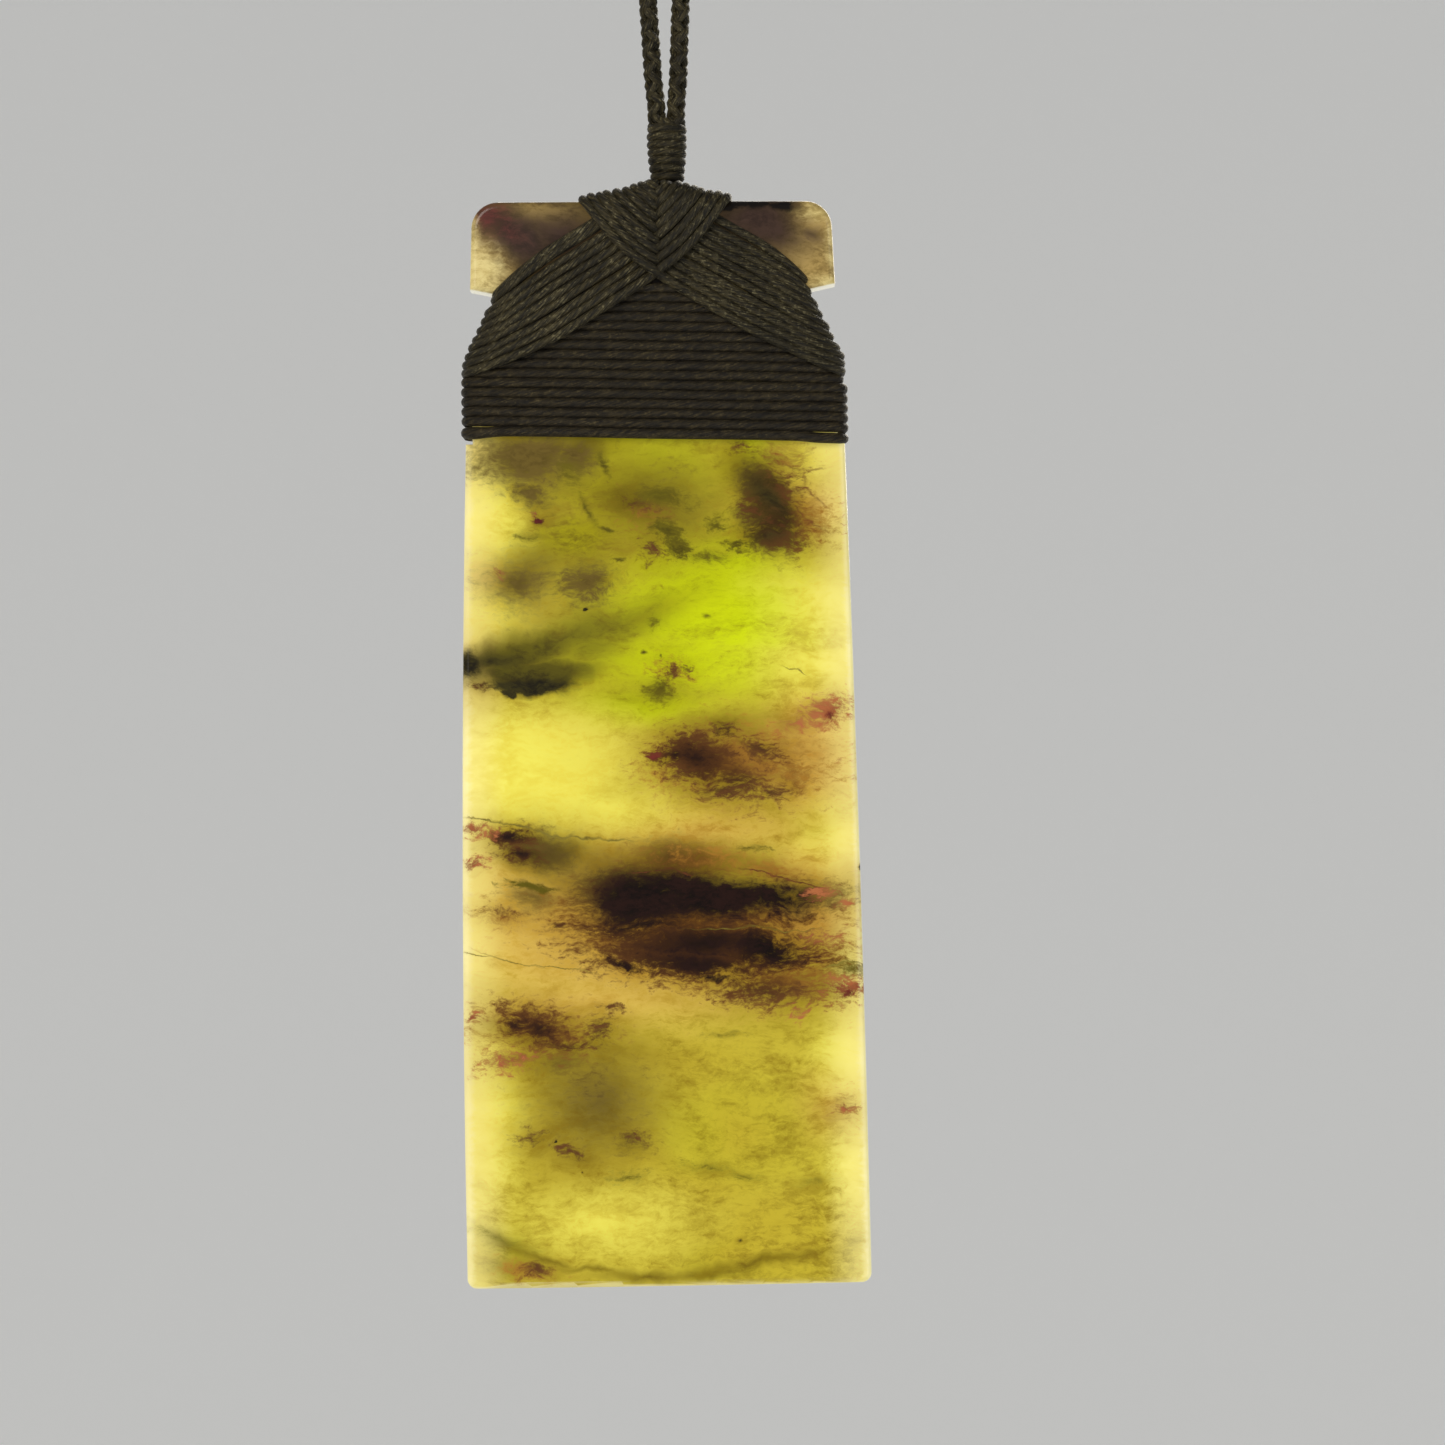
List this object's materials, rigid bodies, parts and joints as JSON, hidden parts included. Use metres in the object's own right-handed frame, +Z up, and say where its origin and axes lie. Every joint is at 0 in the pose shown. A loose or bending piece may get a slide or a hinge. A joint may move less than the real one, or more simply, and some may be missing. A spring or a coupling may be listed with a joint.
{
  "type": "toki adze pendant",
  "caption": "Toki adze pendant: a jade blade with a hooked butt, lashed with dark waxed cord and hung from a plaited neck loop.",
  "frame": {"origin": "underside of the neck loop's top, where the loop hangs on a neck or a peg", "axes": "+Z up along the neck loop, the blade hanging below; +X to the right of the face seen when worn, which looks towards -Y"},
  "size_m": [0.0358, 0.0098, 0.4282],
  "materials": {
    "jade": "polished",
    "waxed_cord": "waxed",
    "plaited_cord": "waxed"
  },
  "bodies": {
    "root": {"toki_blade": "jade", "wrap_band": "waxed_cord", "cross_lashing": "waxed_cord", "collar": "waxed_cord", "neck_plait": "plaited_cord"}
  },
  "joints": []
}
